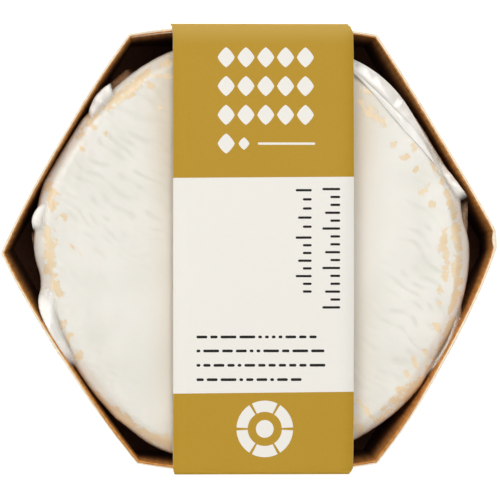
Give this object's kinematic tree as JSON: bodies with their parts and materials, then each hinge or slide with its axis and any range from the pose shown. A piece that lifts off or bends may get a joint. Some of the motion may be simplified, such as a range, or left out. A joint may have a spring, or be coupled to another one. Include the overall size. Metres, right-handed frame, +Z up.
{
  "type": "packed camembert",
  "caption": "Round soft cheese wheel with a white rind in clear film, set in an open hexagonal board tray and held by a wide card band that passes round both.",
  "frame": {"origin": "middle of the pack's box at its underside, on the surface that it rests on", "axes": "+X towards the tray's glued corner, along its corner-to-corner length; +Y along the band, towards the back; +Z up through the top of the wheel"},
  "size_m": [0.128, 0.1162, 0.0308],
  "materials": {
    "kraft_board": "brown kraft board, matt, with short fibres",
    "board_edge": "cream cut edge of the board",
    "rind": "white bloomy rind, soft, with beige worn patches at its edge",
    "film": "thin clear film, glossy, creased at its folds",
    "band_card": "smooth off-white card with gold ends, satin",
    "band_ink_white": "white printed marks, satin",
    "band_ink_dark": "near-black printed marks, satin"
  },
  "bodies": {
    "root": {"tray": "kraft_board", "wheel": "rind", "band": "band_card"}
  },
  "joints": []
}
